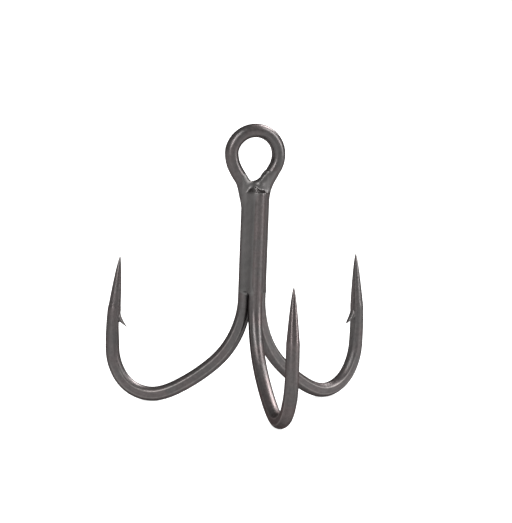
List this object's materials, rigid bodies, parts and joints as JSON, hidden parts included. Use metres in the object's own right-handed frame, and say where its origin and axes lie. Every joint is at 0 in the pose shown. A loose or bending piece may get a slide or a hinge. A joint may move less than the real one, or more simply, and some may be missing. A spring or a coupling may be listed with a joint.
{
  "type": "treble hook",
  "caption": "Treble fishing hook: a bent-wire eye and shank that split into three barbed needle points.",
  "frame": {"origin": "centre of the eye's round crown, where a split ring hangs", "axes": "+Z along the shank from the bends up to the eye, +Y through the eye's hole, single hook towards -Y, double hook's points towards +X and -X"},
  "size_m": [0.0323, 0.0251, 0.034],
  "materials": {
    "double_wire_plating": "satin black nickel over hardened steel wire",
    "single_wire_plating": "satin black nickel over hardened steel wire",
    "braze_plating": "brass braze under the same satin black nickel"
  },
  "bodies": {
    "root": {"double_hook_wire": "double_wire_plating", "single_hook_wire": "single_wire_plating", "braze_bead_left": "braze_plating", "braze_bead_right": "braze_plating", "braze_bead_rear": "braze_plating", "braze_core": "braze_plating", "braze_throat": "braze_plating"}
  },
  "joints": []
}
